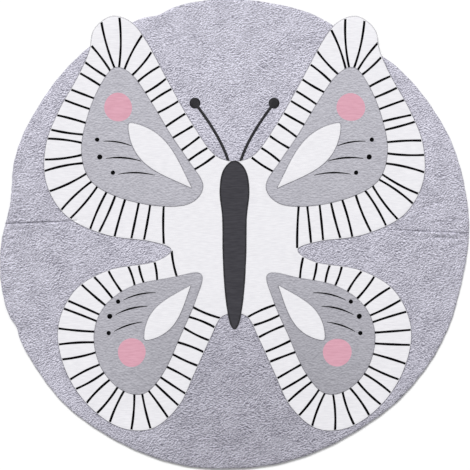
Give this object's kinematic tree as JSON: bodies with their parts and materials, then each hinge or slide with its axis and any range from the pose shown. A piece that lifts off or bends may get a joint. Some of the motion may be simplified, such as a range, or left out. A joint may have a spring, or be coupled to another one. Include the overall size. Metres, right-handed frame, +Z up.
{
  "type": "baby play mat",
  "caption": "Round padded baby play mat of grey marl jersey with a sewn-on white cotton butterfly whose upper wing tips reach past the rim.",
  "frame": {"origin": "on the floor under the middle of the mat", "axes": "+Z up from the floor, +Y towards the butterfly's head, +X to its right as the mat is seen from above"},
  "size_m": [0.8975, 0.8982, 0.0141],
  "materials": {
    "marl_jersey": "grey marl cotton jersey, flecked lighter and darker in short, mostly sideways streaks, matt",
    "white_cotton": "close plain-woven white cotton, matt and smooth",
    "grey_slub": "mid-grey cotton with fine slubs running across the mat, matt",
    "charcoal_cotton": "charcoal plain-woven cotton, matt",
    "black_print": "flat black pigment print on cotton",
    "pink_print": "flat soft pink pigment print on cotton",
    "grey_thread": "mid-grey polyester sewing thread, slight sheen",
    "charcoal_thread": "charcoal polyester sewing thread, slight sheen"
  },
  "bodies": {
    "root": {"mat_pad": "marl_jersey", "butterfly_panel": "white_cotton", "butterfly_body": "charcoal_cotton", "upper_field_right": "grey_slub", "upper_field_left": "grey_slub", "lower_field_right": "grey_slub", "lower_field_left": "grey_slub", "upper_cell_right": "white_cotton", "upper_cell_left": "white_cotton", "lower_cell_right": "white_cotton", "lower_cell_left": "white_cotton"}
  },
  "joints": []
}
